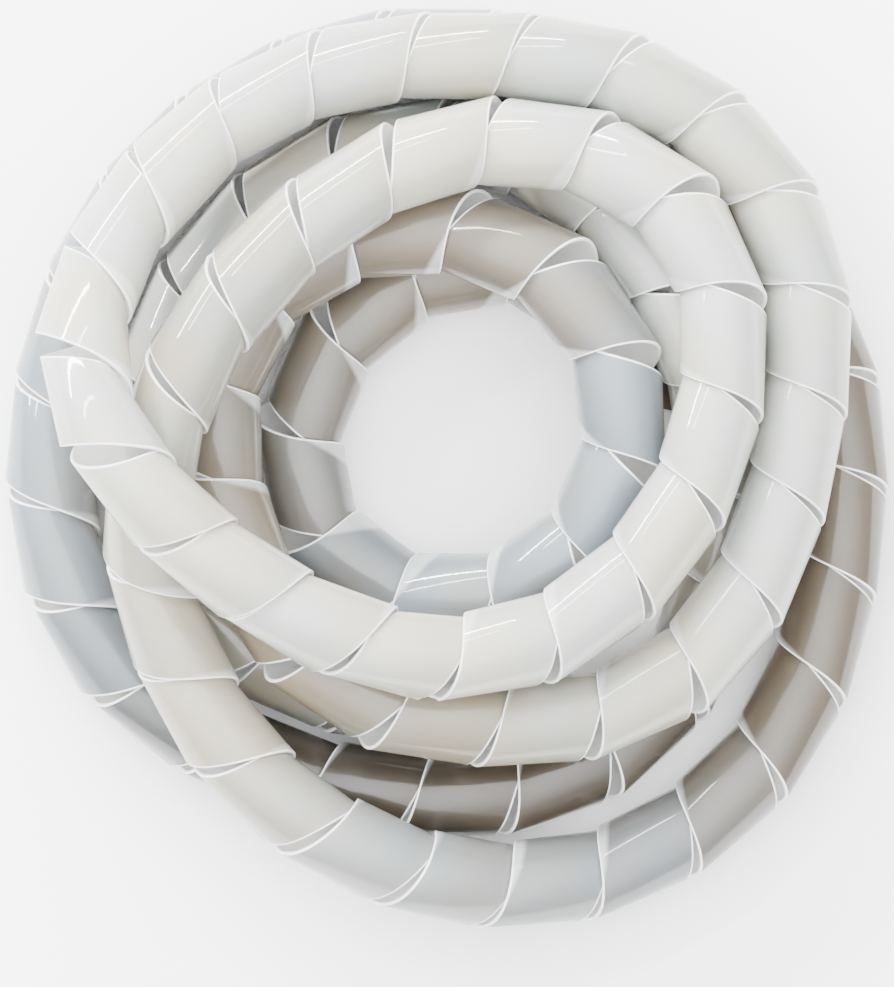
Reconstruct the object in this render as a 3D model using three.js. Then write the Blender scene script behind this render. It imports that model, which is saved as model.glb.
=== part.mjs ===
// Spiral cable wrap: one long strip of polyethylene wound as a left-handed helix, which is what a
// tube becomes when it is slit all along in a spiral, lying as a loose coil of nearly six turns.
// Millimetres, Z up. The coil rests on z = 0 with its open eye in the middle.
import * as THREE from "three";

// The tube
const overLaps = 24.2;
const wall = 1;
const tubeRadius = overLaps / 2;

// The knife that slits the tube takes nothing away, so the strip is as wide as the pitch.
const pitch = 27.2;
const stripWidth = pitch;
const handedness = -1;
const stepsPerWrap = 14;
// The place round the tube at which the strip begins, as a share of a turn.
const startTurn = 0.6;

// Where the tube bends, the edges of two neighbouring wraps part on the outside of the bend and lap
// on the inside, with this much air between them and that share of the lap's length more. They
// begin to rise and sink this far before they meet.
const lapAir = 0.65;
const lapSplay = 0.1;
const lapLead = 5;
// The far edge of a wrap lies over the near edge of the next but for the laps from each first one
// to each last one here, counted from the strip's beginning, where it lies under it.
const nearOver = [
  [21, 26],
  [45, 50],
  [62, 68],
];

// How the coil lies: points on the tube's axis in order along it, clockwise from above, from the
// end hidden under the coil to the other hidden end. The lowest turns lie on the floor and the
// others on top of them.
const onFloor = tubeRadius;
const route = [
  [20, -60, onFloor],
  [6, -63, onFloor],
  [-13, -63, onFloor],
  [-34, -58, onFloor],
  [-53, -50, onFloor],
  [-68, -36, onFloor],
  [-78, -21, onFloor],
  [-82, -4, onFloor],
  [-80, 18, onFloor],
  [-74, 38, onFloor],
  [-66, 52, onFloor],
  [-56, 64, onFloor],
  [-45, 74, onFloor],
  [-29, 83, onFloor],
  [-9, 88, onFloor],
  [9, 88, 13],
  [26, 83, 17],
  [42, 72, 23],
  [57, 54, 27],
  [67, 33, 28],
  [73, 15, 25],
  [75, -3, 20],
  [74, -25, 14],
  [66, -52, onFloor],
  [50, -71, onFloor],
  [33, -82, onFloor],
  [14, -87, onFloor],
  [-5, -88, onFloor],
  [-28, -86, onFloor],
  [-50, -79, onFloor],
  [-73, -67, onFloor],
  [-91, -51, onFloor],
  [-102, -31, onFloor],
  [-107, -8, onFloor],
  [-107, 8, onFloor],
  [-105, 22, onFloor],
  [-99, 45, onFloor],
  [-88, 66, onFloor],
  [-72, 86, onFloor],
  [-53, 99, onFloor],
  [-32, 109, onFloor],
  [-8, 113, onFloor],
  [14, 112, onFloor],
  [38, 104, onFloor],
  [62, 90, onFloor],
  [82, 69, onFloor],
  [97, 43, onFloor],
  [106, 19, onFloor],
  [107, -8, onFloor],
  [104, -33, onFloor],
  [98, -55, onFloor],
  [87, -76, onFloor],
  [70, -93, onFloor],
  [47, -107, onFloor],
  [22, -112, 15],
  [-2, -110, 24],
  [-26, -101, 33],
  [-49, -85, 36],
  [-65, -65, 37],
  [-76, -41, 37],
  [-81, -19, 42],
  [-80, -3, 47],
  [-76, 13, 53],
  [-70, 26, 54],
  [-59, 45, 56],
  [-41, 63, 56],
  [-20, 78, 54],
  [4, 87, 48],
  [30, 87, 45],
  [51, 79, 48],
  [68, 63, 51],
  [74, 43, 52],
  [74, 23, 52],
  [70, 4, 52],
  [60, -16, 53],
  [43, -35, 51],
  [20, -48, 52],
  [-5, -50, 56],
  [-28, -45, 61],
  [-49, -33, 64],
  [-68, -19, 69],
  [-84, -2, 73],
  [-95, 16, 70],
  [-98, 36, 58],
  [-91, 57, 49],
  [-77, 78, 42],
  [-54, 97, 38],
  [-28, 108, 37],
  [1, 111, 37],
  [29, 110, 37],
  [53, 104, 37],
  [73, 91, 37],
  [88, 72, 38],
  [96, 53, 39],
  [97, 32, 39],
  [95, 11, 39],
  [90, -11, 39],
  [80, -35, 38],
  [64, -54, 38],
  [41, -66, 37],
  [17, -68, 37],
  [-5, -67, 37],
  [-26, -60, 37],
  [-42, -46, 36],
  [-53, -27, 32],
  [-60, -8, 30],
  [-63, 9, 31],
  [-61, 27, 31],
  [-54, 42, 31],
  [-42, 54, 31],
  [-26, 62, 32],
  [-5, 65, 34],
  [13, 61, 38],
  [29, 53, 41],
  [41, 40, 41],
  [47, 22, 40],
  [47, 1, 36],
  [35, -21, 29],
  [18, -33, 21],
  [-2, -36, 15],
  [-20, -32, onFloor],
  [-34, -19, onFloor],
  [-40, 0, onFloor],
  [-38, 19, onFloor],
  [-29, 36, onFloor],
  [-15, 48, onFloor],
  [1, 56, onFloor],
  [18, 57, onFloor],
  [34, 50, onFloor],
  [46, 35, onFloor],
  [52, 16, onFloor],
  [53, -4, onFloor],
];

// The tube is stiff, so its axis is eased over about a pitch each way along the route.
const easeStep = 2;
const easeReach = 7;
const rough = new THREE.CatmullRomCurve3(
  route.map(([x, y, z]) => new THREE.Vector3(x, y, z)),
  false,
  "centripetal",
);
rough.arcLengthDivisions = 6000;

function eased(points) {
  return points.map((_, n) => {
    const reach = Math.min(easeReach, n, points.length - 1 - n);
    const sum = new THREE.Vector3();
    for (const point of points.slice(n - reach, n + reach + 1)) {
      sum.add(point);
    }
    return sum.divideScalar(2 * reach + 1);
  });
}

const roughPoints = rough.getSpacedPoints(Math.round(rough.getLength() / easeStep));
const axis = new THREE.CatmullRomCurve3(eased(eased(roughPoints)), false, "centripetal");
axis.arcLengthDivisions = 6000;
const axisLength = axis.getLength();

// Stations follow one another round the helix; the strip lies straight along the tube at each one.
const stations = Math.floor(((axisLength - stripWidth) * stepsPerWrap) / pitch);
const up = new THREE.Vector3(0, 0, 1);

function along(distance) {
  const share = THREE.MathUtils.clamp(distance / axisLength, 0, 1);
  return { point: axis.getPointAt(share), tangent: axis.getTangentAt(share) };
}

const frames = [];
for (let k = 0; k <= stations; k += 1) {
  const { point, tangent } = along(stripWidth / 2 + (k * pitch) / stepsPerWrap);
  const side = new THREE.Vector3().crossVectors(tangent, up).normalize();
  const over = new THREE.Vector3().crossVectors(side, tangent);
  const angle = handedness * 2 * Math.PI * (k / stepsPerWrap + startTurn);
  const out = side.clone().multiplyScalar(Math.cos(angle)).addScaledVector(over, -Math.sin(angle));
  frames.push({ point, tangent, out, rise: [0, 0] });
}

// How far a point lies from a wrap's axis, how far along it, and where across the strip's width.
function fromAxis(frame, spot) {
  const reach = spot.clone().sub(frame.point);
  const length = reach.dot(frame.tangent);
  const across = THREE.MathUtils.clamp(0.5 + length / stripWidth, 0, 1);
  return { length, across, radius: reach.addScaledVector(frame.tangent, -length).length() };
}

// Edge 0 is the near one and edge 1 the far one.
function edgeOf(frame, edge, radius) {
  return frame.point
    .clone()
    .addScaledVector(frame.tangent, (edge - 0.5) * stripWidth)
    .addScaledVector(frame.out, radius + frame.rise[edge]);
}

function nearLiesOver(k) {
  const lap = Math.floor(k / stepsPerWrap + startTurn - 0.5);
  return nearOver.some(([first, last]) => lap >= first && lap <= last);
}

// Two edges that lap are pushed apart, the upper one out and the lower one in, until each clears
// the wrap that it laps.
const outside = tubeRadius - (wall + lapAir) / 2;
const inside = outside - wall;
for (let pass = 0; pass < 12; pass += 1) {
  for (let k = 0; k + stepsPerWrap <= stations; k += 1) {
    const here = { frame: frames[k], edge: 1 };
    const next = { frame: frames[k + stepsPerWrap], edge: 0 };
    const [upper, lower] = nearLiesOver(k) ? [next, here] : [here, next];
    const over = fromAxis(lower.frame, edgeOf(upper.frame, upper.edge, inside));
    const under = fromAxis(upper.frame, edgeOf(lower.frame, lower.edge, outside));
    const lapped = stripWidth / 2 + (2 * upper.edge - 1) * over.length;
    const start = THREE.MathUtils.smoothstep(lapped, -lapLead, 0);
    const air = lapAir + lapSplay * Math.max(0, lapped);
    const clear = THREE.MathUtils.lerp(-wall, air, start);
    const top = outside + THREE.MathUtils.lerp(...lower.frame.rise, over.across);
    const bottom = inside + THREE.MathUtils.lerp(...upper.frame.rise, under.across);
    const push = Math.max(top + clear - over.radius, under.radius + clear - bottom) / 2;
    const rise = Math.max(0, upper.frame.rise[upper.edge] + push);
    upper.frame.rise[upper.edge] = rise;
    lower.frame.rise[lower.edge] = -rise;
  }
}

const corners = [];
for (const frame of frames) {
  for (const radius of [outside, inside]) {
    corners.push(edgeOf(frame, 0, radius), edgeOf(frame, 1, radius));
  }
}

// Corner order at a station: outer near, outer far, inner near, inner far.
const faces = [];
function quad(a, b, c, d) {
  faces.push([a, c, b], [a, d, c]);
}
for (let k = 0; k < stations; k += 1) {
  const [onear, ofar, inear, ifar] = [0, 1, 2, 3].map((n) => 4 * k + n);
  quad(onear, onear + 4, ofar + 4, ofar);
  quad(inear, ifar, ifar + 4, inear + 4);
  quad(onear, inear, inear + 4, onear + 4);
  quad(ofar, ofar + 4, ifar + 4, ifar);
}
const last = 4 * stations;
quad(0, 1, 3, 2);
quad(last, last + 2, last + 3, last + 1);

// The strip is moved so that its lowest edge is on the floor and its middle is over the origin.
const box = new THREE.Box3().setFromPoints(corners);
const middle = box.getCenter(new THREE.Vector3());
const toFloor = new THREE.Vector3(-middle.x, -middle.y, -box.min.z);
for (const corner of corners) {
  corner.add(toFloor);
}

const geometry = new THREE.BufferGeometry();
geometry.setAttribute(
  "position",
  new THREE.Float32BufferAttribute(corners.flatMap((c) => [c.x, c.y, c.z]), 3),
);
geometry.setIndex(faces.flat());

const strip = new THREE.Mesh(
  geometry,
  new THREE.MeshStandardMaterial({ color: 0xdcddd9, roughness: 0.35, metalness: 0 }),
);
strip.name = "spiral_wrap";

const part = new THREE.Group();
part.name = "spiral_cable_wrap";
part.add(strip);

export default part;
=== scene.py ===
"""The looks of a spiral cable wrap: a strip of milky polyethylene, wound as a left-handed helix and
lying as a loose coil of nearly six turns round an open eye. Metres, Z up, with the coil on z = 0.
"""

import math

import bpy
import numpy as np
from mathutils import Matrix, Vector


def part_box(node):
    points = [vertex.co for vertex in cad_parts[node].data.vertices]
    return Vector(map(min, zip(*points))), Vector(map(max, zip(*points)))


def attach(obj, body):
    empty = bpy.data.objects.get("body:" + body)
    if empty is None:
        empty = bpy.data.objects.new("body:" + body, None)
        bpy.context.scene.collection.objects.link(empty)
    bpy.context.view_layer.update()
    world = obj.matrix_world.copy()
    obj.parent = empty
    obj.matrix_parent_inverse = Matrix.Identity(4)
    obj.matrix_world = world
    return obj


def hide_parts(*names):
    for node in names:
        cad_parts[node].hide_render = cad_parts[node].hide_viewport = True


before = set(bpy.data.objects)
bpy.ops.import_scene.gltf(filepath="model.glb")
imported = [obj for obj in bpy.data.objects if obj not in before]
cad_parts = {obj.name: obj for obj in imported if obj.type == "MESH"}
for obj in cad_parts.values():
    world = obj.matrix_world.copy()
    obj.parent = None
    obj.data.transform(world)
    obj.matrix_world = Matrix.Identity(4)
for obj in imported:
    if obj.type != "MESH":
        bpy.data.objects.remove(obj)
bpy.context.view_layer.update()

MM = 0.001

# The tube and the strip that its spiral slit leaves, in millimetres, as in the part's source. The
# laps in NEAR_OVER, from each first to each last one, have the near edge on top.
OVER_LAPS = 24.2
WALL = 1
PITCH = 27.2
STRIP_WIDTH = PITCH
HANDEDNESS = -1
START_TURN = 0.6
NEAR_OVER = [(21, 26), (45, 50), (62, 68)]
ON_FLOOR = OVER_LAPS / 2

# The steps in which the route is drawn, in number and in millimetres, and how many of its points
# each way the stiff tube rounds its bends over.
SPAN_STEPS = 24
EASE_STEP = 2
EASE_REACH = 7
AXIS_STEP = 1.0

# The finer strip that is shown: its steps to a wrap, the rounding of its four long corners, and
# the air between two edges that lap, less than in the CAD solid as the steps are smaller. The air
# grows by LAP_SPLAY of the lap's length, and the edges part from LAP_LEAD before they meet.
STEPS = 42
CORNER = 0.25
CORNER_STEPS = 2
LAP_AIR = 0.2
LAP_SPLAY = 0.06
LAP_LEAD = 3
LAP_PASSES = 24
OUTSIDE = OVER_LAPS / 2 - (WALL + LAP_AIR) / 2
INSIDE = OUTSIDE - WALL

# Faces that meet at fewer degrees than this are shaded as one.
SHARP_EDGE = 50

# The photograph's frame, the pixel over the coil's middle and the millimetres to a pixel there.
PHOTO_WIDTH, PHOTO_HEIGHT = 894, 987
MIDDLE_PIXEL = (447, 469)
MM_PER_PIXEL = 0.27
CAMERA_HEIGHT = 6.0

# Points on the tube's axis in order along it, clockwise from above, as in the part's source.
ROUTE = [
    (20, -60, ON_FLOOR), (6, -63, ON_FLOOR), (-13, -63, ON_FLOOR), (-34, -58, ON_FLOOR),
    (-53, -50, ON_FLOOR), (-68, -36, ON_FLOOR), (-78, -21, ON_FLOOR), (-82, -4, ON_FLOOR),
    (-80, 18, ON_FLOOR), (-74, 38, ON_FLOOR), (-66, 52, ON_FLOOR), (-56, 64, ON_FLOOR),
    (-45, 74, ON_FLOOR), (-29, 83, ON_FLOOR), (-9, 88, ON_FLOOR), (9, 88, 13),
    (26, 83, 17), (42, 72, 23), (57, 54, 27), (67, 33, 28),
    (73, 15, 25), (75, -3, 20), (74, -25, 14), (66, -52, ON_FLOOR),
    (50, -71, ON_FLOOR), (33, -82, ON_FLOOR), (14, -87, ON_FLOOR), (-5, -88, ON_FLOOR),
    (-28, -86, ON_FLOOR), (-50, -79, ON_FLOOR), (-73, -67, ON_FLOOR), (-91, -51, ON_FLOOR),
    (-102, -31, ON_FLOOR), (-107, -8, ON_FLOOR), (-107, 8, ON_FLOOR), (-105, 22, ON_FLOOR),
    (-99, 45, ON_FLOOR), (-88, 66, ON_FLOOR), (-72, 86, ON_FLOOR), (-53, 99, ON_FLOOR),
    (-32, 109, ON_FLOOR), (-8, 113, ON_FLOOR), (14, 112, ON_FLOOR), (38, 104, ON_FLOOR),
    (62, 90, ON_FLOOR), (82, 69, ON_FLOOR), (97, 43, ON_FLOOR), (106, 19, ON_FLOOR),
    (107, -8, ON_FLOOR), (104, -33, ON_FLOOR), (98, -55, ON_FLOOR), (87, -76, ON_FLOOR),
    (70, -93, ON_FLOOR), (47, -107, ON_FLOOR), (22, -112, 15), (-2, -110, 24),
    (-26, -101, 33), (-49, -85, 36), (-65, -65, 37), (-76, -41, 37),
    (-81, -19, 42), (-80, -3, 47), (-76, 13, 53), (-70, 26, 54),
    (-59, 45, 56), (-41, 63, 56), (-20, 78, 54), (4, 87, 48),
    (30, 87, 45), (51, 79, 48), (68, 63, 51), (74, 43, 52),
    (74, 23, 52), (70, 4, 52), (60, -16, 53), (43, -35, 51),
    (20, -48, 52), (-5, -50, 56), (-28, -45, 61), (-49, -33, 64),
    (-68, -19, 69), (-84, -2, 73), (-95, 16, 70), (-98, 36, 58),
    (-91, 57, 49), (-77, 78, 42), (-54, 97, 38), (-28, 108, 37),
    (1, 111, 37), (29, 110, 37), (53, 104, 37), (73, 91, 37),
    (88, 72, 38), (96, 53, 39), (97, 32, 39), (95, 11, 39),
    (90, -11, 39), (80, -35, 38), (64, -54, 38), (41, -66, 37),
    (17, -68, 37), (-5, -67, 37), (-26, -60, 37), (-42, -46, 36),
    (-53, -27, 32), (-60, -8, 30), (-63, 9, 31), (-61, 27, 31),
    (-54, 42, 31), (-42, 54, 31), (-26, 62, 32), (-5, 65, 34),
    (13, 61, 38), (29, 53, 41), (41, 40, 41), (47, 22, 40),
    (47, 1, 36), (35, -21, 29), (18, -33, 21), (-2, -36, 15),
    (-20, -32, ON_FLOOR), (-34, -19, ON_FLOOR), (-40, 0, ON_FLOOR), (-38, 19, ON_FLOOR),
    (-29, 36, ON_FLOOR), (-15, 48, ON_FLOOR), (1, 56, ON_FLOOR), (18, 57, ON_FLOOR),
    (34, 50, ON_FLOOR), (46, 35, ON_FLOOR), (52, 16, ON_FLOOR), (53, -4, ON_FLOOR),
]


def smooth_line(points, spacing):
    """A centripetal Catmull-Rom curve through points, cut into even steps of about spacing."""
    ends = [2 * points[0] - points[1], *points, 2 * points[-1] - points[-2]]
    fine = []
    for p0, p1, p2, p3 in zip(ends, ends[1:], ends[2:], ends[3:]):
        d0, d1, d2 = (math.sqrt(np.linalg.norm(b - a)) for a, b in ((p0, p1), (p1, p2), (p2, p3)))
        leave = ((p1 - p0) / d0 - (p2 - p0) / (d0 + d1) + (p2 - p1) / d1) * d1
        reach = ((p2 - p1) / d1 - (p3 - p1) / (d1 + d2) + (p3 - p2) / d2) * d1
        for t in np.linspace(0, 1, SPAN_STEPS, endpoint=False):
            fine.append(
                (2 * t**3 - 3 * t**2 + 1) * p1
                + (t**3 - 2 * t**2 + t) * leave
                + (3 * t**2 - 2 * t**3) * p2
                + (t**3 - t**2) * reach
            )
    fine = np.array([*fine, points[-1]])
    gone = np.append(0, np.cumsum(np.linalg.norm(np.diff(fine, axis=0), axis=1)))
    count = round(gone[-1] / spacing)
    return at(np.linspace(0, gone[-1], count + 1), gone, fine)


def at(distances, gone, line):
    """The points of a line at these distances along it."""
    return np.stack([np.interp(distances, gone, line[:, n]) for n in range(3)], axis=1)


def eased(line):
    """The line with its bends rounded off: each point is the mean of those around it."""
    count = len(line)
    rounded = []
    for n in range(count):
        reach = min(EASE_REACH, n, count - 1 - n)
        rounded.append(line[n - reach : n + reach + 1].mean(axis=0))
    return np.array(rounded)


def unit(rows):
    """The rows as vectors of length 1."""
    return rows / np.linalg.norm(rows, axis=-1, keepdims=True)


rough = smooth_line(np.array(ROUTE, dtype=float), EASE_STEP)
axis = smooth_line(eased(eased(rough)), AXIS_STEP)
gone = np.append(0, np.cumsum(np.linalg.norm(np.diff(axis, axis=0), axis=1)))
axis_length = gone[-1]
headings = unit(np.gradient(axis, axis=0))

# Stations along the helix. The strip lies straight along the tube at each one.
station_count = int((axis_length - STRIP_WIDTH) * STEPS / PITCH)
turns = np.arange(station_count + 1) / STEPS
distances = STRIP_WIDTH / 2 + turns * PITCH
centres = at(distances, gone, axis)
tangents = unit(at(distances, gone, headings))
sides = unit(np.cross(tangents, (0, 0, 1)))
overs = np.cross(sides, tangents)
angles = HANDEDNESS * 2 * math.pi * (turns + START_TURN)
outs = sides * np.cos(angles)[:, None] - overs * np.sin(angles)[:, None]

# How far each edge stands out from the plain tube at each station, and below nought how far it
# is sunk into it.
near_rise = np.zeros(station_count + 1)
far_rise = np.zeros(station_count + 1)


def edge(end, radius, rows):
    """The strip's far (end 1) or near (end -1) edge at those stations."""
    return centres[rows] + tangents[rows] * (end * STRIP_WIDTH / 2) + outs[rows] * radius[:, None]


def from_axis(rows, spots):
    """How far along and how far off the axes of those stations the spots are, and the lift of the
    wraps there."""
    reach = spots - centres[rows]
    length = (reach * tangents[rows]).sum(axis=1)
    radius = np.linalg.norm(reach - tangents[rows] * length[:, None], axis=1)
    share = np.clip(0.5 + length / STRIP_WIDTH, 0, 1)
    return length, radius, near_rise[rows] * (1 - share) + far_rise[rows] * share


# Where the tube bends, neighbouring wraps lap on the inside of the bend: one edge rises over the
# other, which sinks, until each clears the other. The order is 1 where the far edge of a wrap lies
# over the near edge of the next, and -1 where it lies under it.
here = slice(0, station_count + 1 - STEPS)
beyond = slice(STEPS, station_count + 1)
laps = np.floor(turns[here] + START_TURN - 0.5)
order = np.ones(len(laps))
for first, final in NEAR_OVER:
    order[(laps >= first) & (laps <= final)] = -1
far_face = np.where(order > 0, INSIDE, OUTSIDE)
near_face = np.where(order > 0, OUTSIDE, INSIDE)
for _ in range(LAP_PASSES):
    far_edge = edge(1, far_face + far_rise[here], here)
    near_edge = edge(-1, near_face + near_rise[beyond], beyond)
    far_length, far_radius, next_lift = from_axis(beyond, far_edge)
    near_length, near_radius, here_lift = from_axis(here, near_edge)
    lapped = STRIP_WIDTH / 2 + np.where(order > 0, far_length, -near_length)
    met = np.clip(1 + lapped / LAP_LEAD, 0, 1)
    air = LAP_AIR + LAP_SPLAY * np.maximum(0, lapped)
    clear = (WALL + air) * met**2 * (3 - 2 * met) - WALL
    over_next = order * (far_radius - near_face - next_lift)
    over_here = order * (far_face + here_lift - near_radius)
    push = (clear - np.minimum(over_next, over_here)) / 2
    rise = np.maximum(0, order * far_rise[here] + push)
    far_rise[here] = order * rise
    near_rise[beyond] = -order * rise

# The strip's outline: (place across its width, height from its inner face), round from the near
# edge's inner corner, so that its faces point outwards.
outline = []
for middle_x, middle_h, start in (
    (STRIP_WIDTH / 2 - CORNER, CORNER, -90),
    (STRIP_WIDTH / 2 - CORNER, WALL - CORNER, 0),
    (CORNER - STRIP_WIDTH / 2, WALL - CORNER, 90),
    (CORNER - STRIP_WIDTH / 2, CORNER, 180),
):
    for step in range(CORNER_STEPS + 1):
        turn = math.radians(start + 90 * step / CORNER_STEPS)
        outline.append((middle_x + CORNER * math.cos(turn), middle_h + CORNER * math.sin(turn)))
outline = np.array(outline)

across = outline[:, 0] / STRIP_WIDTH + 0.5
rises = near_rise[:, None] * (1 - across) + far_rise[:, None] * across
vertices = (
    centres[:, None]
    + tangents[:, None] * outline[None, :, :1]
    + outs[:, None] * (INSIDE + outline[None, :, 1:] + rises[:, :, None])
)
ring = len(outline)
vertices = vertices.reshape(-1, 3) * MM

faces = []
for k in range(station_count):
    for n in range(ring):
        m = (n + 1) % ring
        faces.append((k * ring + n, (k + 1) * ring + n, (k + 1) * ring + m, k * ring + m))
faces.append(tuple(range(ring)))
faces.append(tuple(reversed(range(station_count * ring, (station_count + 1) * ring))))

# The strip goes where the CAD solid is.
low, high = (np.array(corner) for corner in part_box("spiral_wrap"))
own_low, own_high = vertices.min(axis=0), vertices.max(axis=0)
shift = (low + high - own_low - own_high) / 2
shift[2] = low[2] - own_low[2]
vertices += shift

mesh = bpy.data.meshes.new("spiral_strip")
mesh.from_pydata(vertices.tolist(), [], faces)
strip = bpy.data.objects.new("spiral_strip", mesh)
bpy.context.collection.objects.link(strip)

# Its own map: across the strip from 0 to 1, and along it in wraps.
strip_map = mesh.uv_layers.new(name="strip")
corner_vertices = np.empty(len(mesh.loops), dtype=np.int64)
mesh.loops.foreach_get("vertex_index", corner_vertices)
map_places = np.stack([across[corner_vertices % ring], turns[corner_vertices // ring]], axis=1)
strip_map.data.foreach_set("uv", map_places.astype(np.float32).ravel())

# The share of the strip's width that laps at its near and at its far edge, and how near the bore
# a corner of its outline is. The material paints light at the laps and in the bore with these.
lap_share = np.clip(lapped / STRIP_WIDTH, 0, 1)
near_lap = np.zeros(station_count + 1)
far_lap = np.zeros(station_count + 1)
near_lap[beyond] = lap_share
far_lap[here] = lap_share
bore_side = np.tile(1 - outline[:, 1] / WALL, station_count + 1)
for name, values in (
    ("near_lap", np.repeat(near_lap, ring)),
    ("far_lap", np.repeat(far_lap, ring)),
    ("bore_side", bore_side),
):
    layer = mesh.attributes.new(name=name, type="FLOAT", domain="POINT")
    layer.data.foreach_set("value", values.astype(np.float32))

bpy.ops.object.select_all(action="DESELECT")
bpy.context.view_layer.objects.active = strip
strip.select_set(True)
bpy.ops.object.shade_smooth_by_angle(angle=math.radians(SHARP_EDGE))
bpy.ops.object.select_all(action="DESELECT")

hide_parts("spiral_wrap")
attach(strip, "root")


def colour(hex_code):
    """An sRGB hex colour as linear RGBA."""
    shares = [int(hex_code[n : n + 2], 16) / 255 for n in (1, 3, 5)]
    linear = [c / 12.92 if c <= 0.04045 else ((c + 0.055) / 1.055) ** 2.4 for c in shares]
    return (*linear, 1)


def add_node(tree, kind, settings=None, values=None, links=None):
    """Adds a node with its settings, its inputs' values and the links into its inputs."""
    node = tree.nodes.new(kind)
    for name, value in (settings or {}).items():
        setattr(node, name, value)
    for name, value in (values or {}).items():
        node.inputs[name].default_value = value
    for name, source in (links or {}).items():
        tree.links.new(source, node.inputs[name])
    return node


# The strip's tone from its beginning to its end: (wrap, tone). This is painted shade: the wraps
# that lie low in the coil or under other wraps are given darker tones, some warm and some cool.
WRAPS = 106
BRIGHT, PALE_SHADE, SOFT, COOL = "#AEADA6", "#989993", "#9B978C", "#737A81"
DIM, BEIGE, DULL, WARM, DEEP = "#87847B", "#756D5E", "#645D54", "#4D453B", "#383129"
WRAP_SHADE = [
    (0, DULL), (5, BRIGHT), (13, BRIGHT), (17, DEEP), (21, DEEP), (24, COOL), (30, COOL),
    (36, WARM), (40, WARM), (43, COOL), (47, SOFT), (49, SOFT), (51, DIM), (54, BRIGHT),
    (70, BRIGHT), (73, PALE_SHADE), (76, PALE_SHADE), (79, BRIGHT), (81, BRIGHT), (84, BEIGE),
    (89, DULL), (92, DULL), (94, COOL), (97, COOL), (99, DULL), (WRAPS, DULL),
]

# The melt's clouds run from cool to warm over the middle of the noise. Sizes and how far light
# scatters in the plastic, red, green and blue, are in millimetres.
CLOUD_SIZE = 35
CLOUD_COOL, CLOUD_WARM = "#F2F9FC", "#FCF6EA"
CLOUD_BLEND = (0.4, 0.6)
SCATTER = (5, 4.8, 4.6)

# Painted light: two lapped walls are painted this much of the way to the lighter lap tone, for the
# light that scatters through both. The change begins and ends at these shares of the strip's
# width from the end of the lap.
LAP_LIGHT_TONE = "#DADCDC"
LAP_WHITENING = 0.5
LAP_BLEND = (-0.01, 0.05)

# Painted light: the light that a cut edge gathers is painted as a white line, full as far as the
# first of these and gone at the second, in millimetres from the edge.
EDGE_GLOW_TONE = "#FFFFFF"
EDGE_LINE = (0.45, 0.6)
# Painted light: the bore's inner face is painted nearly white against its shade.
BORE_LIGHT_TONE = "#F2F2EF"


def shaded_cloudy_tone(tree, wrap, spot):
    """The painted shade at a wrap, counted from the strip's beginning, with the clouds at a spot.
    """
    along = add_node(
        tree,
        "ShaderNodeMath",
        settings={"operation": "DIVIDE"},
        values={1: WRAPS},
        links={0: wrap},
    )
    painted_shade = add_node(tree, "ShaderNodeValToRGB", links={"Fac": along.outputs[0]})
    stops = painted_shade.color_ramp.elements
    stops[0].color = colour(WRAP_SHADE[0][1])
    stops[1].color = colour(WRAP_SHADE[-1][1])
    for stop_wrap, tone in WRAP_SHADE[1:-1]:
        stops.new(stop_wrap / WRAPS).color = colour(tone)
    clouds = add_node(
        tree,
        "ShaderNodeTexNoise",
        values={"Scale": 1 / (CLOUD_SIZE * MM), "Detail": 3, "Roughness": 0.5},
        links={"Vector": spot},
    )
    cloud_share = add_node(
        tree,
        "ShaderNodeMapRange",
        values={"From Min": CLOUD_BLEND[0], "From Max": CLOUD_BLEND[1]},
        links={"Value": clouds.outputs["Fac"]},
    )
    tint = add_node(
        tree,
        "ShaderNodeMix",
        settings={"data_type": "RGBA"},
        values={"A": colour(CLOUD_COOL), "B": colour(CLOUD_WARM)},
        links={"Factor": cloud_share.outputs["Result"]},
    )
    body = add_node(
        tree,
        "ShaderNodeMix",
        settings={"data_type": "RGBA", "blend_type": "MULTIPLY"},
        values={"Factor": 1.0},
        links={"A": painted_shade.outputs["Color"], "B": tint.outputs["Result"]},
    )
    return body.outputs["Result"]


def painted_lap_light(tree, from_near, tone):
    """Where two walls lap, the milky plastic is twice as thick; the light it scatters is painted
    whiter.
    """
    from_far = add_node(
        tree,
        "ShaderNodeMath",
        settings={"operation": "SUBTRACT"},
        values={0: 1.0},
        links={1: from_near},
    )
    doubled = []
    for lap_name, from_edge in (("near_lap", from_near), ("far_lap", from_far.outputs[0])):
        lap = add_node(tree, "ShaderNodeAttribute", settings={"attribute_name": lap_name})
        inside_lap = add_node(
            tree,
            "ShaderNodeMath",
            settings={"operation": "SUBTRACT"},
            links={0: lap.outputs["Fac"], 1: from_edge},
        )
        share = add_node(
            tree,
            "ShaderNodeMapRange",
            values={"From Min": LAP_BLEND[0], "From Max": LAP_BLEND[1]},
            links={"Value": inside_lap.outputs[0]},
        )
        doubled.append(share.outputs["Result"])
    either = add_node(
        tree,
        "ShaderNodeMath",
        settings={"operation": "MAXIMUM"},
        links={0: doubled[0], 1: doubled[1]},
    )
    whitening = add_node(
        tree,
        "ShaderNodeMath",
        settings={"operation": "MULTIPLY"},
        values={1: LAP_WHITENING},
        links={0: either.outputs[0]},
    )
    lap_lit = add_node(
        tree,
        "ShaderNodeMix",
        settings={"data_type": "RGBA"},
        values={"B": colour(LAP_LIGHT_TONE)},
        links={"Factor": whitening.outputs[0], "A": tone},
    )
    return lap_lit.outputs["Result"]


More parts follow.
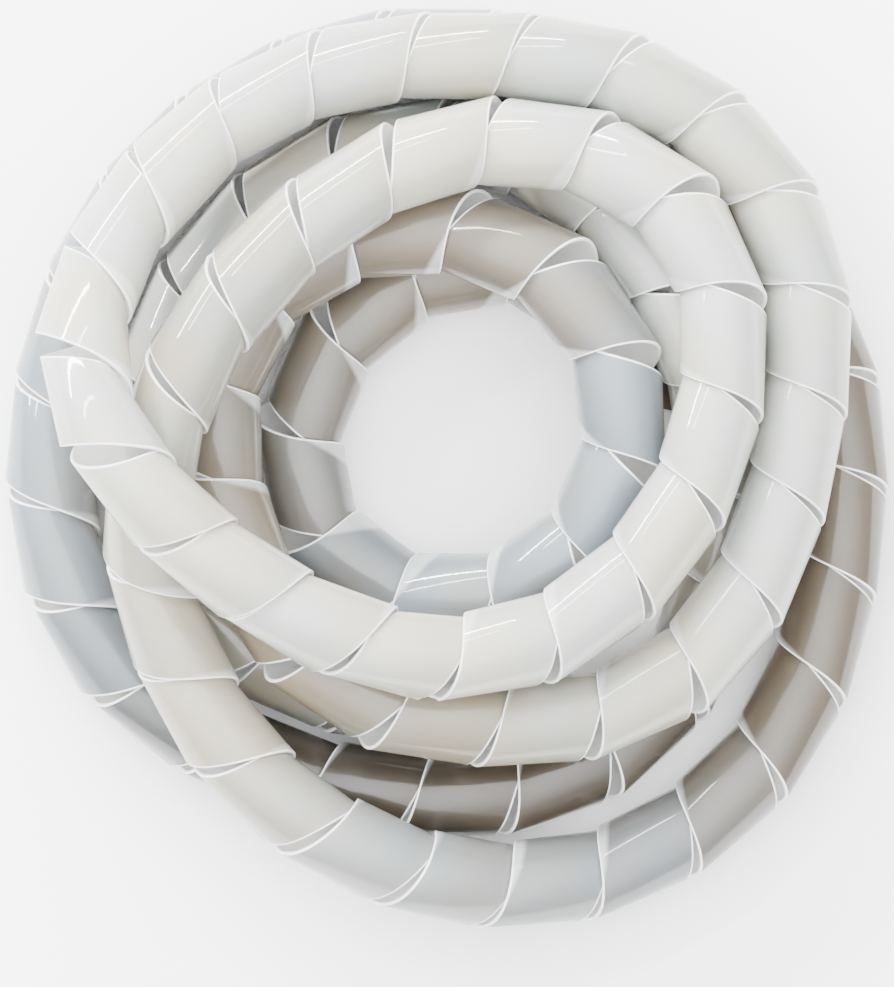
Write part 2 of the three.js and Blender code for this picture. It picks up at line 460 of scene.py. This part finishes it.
def painted_edge_glow(tree, from_near, tone):
    """The cut edges gather light, which is painted as thin white lines."""
    from_edge = add_node(
        tree,
        "ShaderNodeMath",
        settings={"operation": "PINGPONG"},
        values={1: 0.5},
        links={0: from_near},
    )
    cut = add_node(
        tree,
        "ShaderNodeMapRange",
        values={"From Min": EDGE_LINE[1] / STRIP_WIDTH, "From Max": EDGE_LINE[0] / STRIP_WIDTH},
        links={"Value": from_edge.outputs[0]},
    )
    edged = add_node(
        tree,
        "ShaderNodeMix",
        settings={"data_type": "RGBA"},
        values={"B": colour(EDGE_GLOW_TONE)},
        links={"Factor": cut.outputs["Result"], "A": tone},
    )
    return edged.outputs["Result"]


def painted_bore_light(tree, tone):
    """The bore is painted as light as outside, as if it caught light from all round through the
    wall.
    """
    bore = add_node(tree, "ShaderNodeAttribute", settings={"attribute_name": "bore_side"})
    lit = add_node(
        tree,
        "ShaderNodeMix",
        settings={"data_type": "RGBA"},
        values={"B": colour(BORE_LIGHT_TONE)},
        links={"Factor": bore.outputs["Fac"], "A": tone},
    )
    return lit.outputs["Result"]


def milky_polyethylene():
    """Low-density polyethylene, extruded as a tube and slit: it scatters light inside, which makes
    it milky, and the extruder's smooth die leaves a clear gloss over a soft one."""
    material = bpy.data.materials.new("extruded translucent low-density polyethylene")
    material.use_nodes = True
    tree = material.node_tree
    tree.nodes.clear()
    place = add_node(tree, "ShaderNodeTexCoord")
    on_strip = add_node(tree, "ShaderNodeSeparateXYZ", links={"Vector": place.outputs["UV"]})
    from_near = on_strip.outputs["X"]
    # Painted shade: the tone darkens the wraps that lie low in the coil or under others.
    tone = shaded_cloudy_tone(tree, on_strip.outputs["Y"], place.outputs["Object"])
    # Painted light: the laps are lightened for the light that scatters through two walls.
    tone = painted_lap_light(tree, from_near, tone)
    # Painted light: the cut edges are painted as thin white lines.
    tone = painted_edge_glow(tree, from_near, tone)
    shader = add_node(
        tree,
        "ShaderNodeBsdfPrincipled",
        values={
            "Roughness": 0.45,
            "IOR": 1.51,
            "Specular IOR Level": 0.25,
            "Subsurface Weight": 0.6,
            "Subsurface Radius": [reach * MM for reach in SCATTER],
            "Subsurface Scale": 1.0,
            "Coat Weight": 0.9,
            "Coat Roughness": 0.06,
            "Coat IOR": 1.51,
        },
        links={"Base Color": painted_bore_light(tree, tone)},
    )
    add_node(tree, "ShaderNodeOutputMaterial", links={"Surface": shader.outputs["BSDF"]})
    return material


strip.data.materials.append(milky_polyethylene())


def plain_floor():
    """White paper: matt, with no pattern."""
    material = bpy.data.materials.new("matt white paper")
    material.use_nodes = True
    shader = material.node_tree.nodes["Principled BSDF"]
    shader.inputs["Base Color"].default_value = colour("#FAFAFA")
    shader.inputs["Roughness"].default_value = 0.9
    return material


FLOOR_SIZE = 12
bpy.ops.mesh.primitive_plane_add(size=FLOOR_SIZE, location=(0, 0, 0))
floor = bpy.context.object
floor.name = "floor"
floor.data.materials.append(plain_floor())
bpy.ops.object.select_all(action="DESELECT")


def soft_light(name, place, width, height, power):
    """A rectangular lamp that looks at the coil's middle."""
    lamp = bpy.data.lights.new(name, "AREA")
    lamp.shape = "RECTANGLE"
    lamp.size, lamp.size_y = width, height
    lamp.energy = power
    holder = bpy.data.objects.new(name, lamp)
    holder.location = place
    toward = -holder.location
    holder.rotation_euler = toward.to_track_quat("-Z", "Y").to_euler()
    bpy.context.collection.objects.link(holder)


# Two strip lights give the narrow streaks along the wraps that lie across them.
soft_light("window", place=(-0.94, 1.5, 0.94), width=2.6, height=0.1, power=200)
soft_light("second_window", place=(-0.7, 1.15, 1.48), width=1.8, height=0.06, power=34)

# The sky's strength at the horizon and straight above.
SKY_LOW, SKY_HIGH = 1.0, 9.6


def studio_dome():
    """Soft light from all round, brightest from straight above, so that low turns lie in shade."""
    world = bpy.data.worlds.new("studio")
    world.use_nodes = True
    tree = world.node_tree
    direction = add_node(tree, "ShaderNodeTexCoord")
    height = add_node(
        tree, "ShaderNodeSeparateXYZ", links={"Vector": direction.outputs["Generated"]}
    )
    squared = add_node(
        tree,
        "ShaderNodeMath",
        settings={"operation": "MULTIPLY"},
        links={0: height.outputs["Z"], 1: height.outputs["Z"]},
    )
    strength = add_node(
        tree,
        "ShaderNodeMapRange",
        values={"To Min": SKY_LOW, "To Max": SKY_HIGH},
        links={"Value": squared.outputs[0]},
    )
    background = tree.nodes["Background"]
    background.inputs["Color"].default_value = colour("#F4F5F6")
    tree.links.new(strength.outputs["Result"], background.inputs["Strength"])
    bpy.context.scene.world = world


studio_dome()

# The camera looks straight down from far off, as the photograph does, with its top to +Y. The
# photograph's longer side fills the sensor's width.
long_side = PHOTO_HEIGHT * MM_PER_PIXEL * MM
camera = bpy.data.cameras.new("camera")
camera.sensor_fit = "AUTO"
camera.sensor_width = 36
camera.lens = camera.sensor_width * CAMERA_HEIGHT / long_side
camera_holder = bpy.data.objects.new("camera", camera)
frame_x = (PHOTO_WIDTH / 2 - MIDDLE_PIXEL[0]) * MM_PER_PIXEL * MM
frame_y = (MIDDLE_PIXEL[1] - PHOTO_HEIGHT / 2) * MM_PER_PIXEL * MM
camera_holder.location = (frame_x + shift[0], frame_y + shift[1], CAMERA_HEIGHT)
camera.clip_end = 2 * CAMERA_HEIGHT
bpy.context.collection.objects.link(camera_holder)
bpy.context.scene.camera = camera_holder
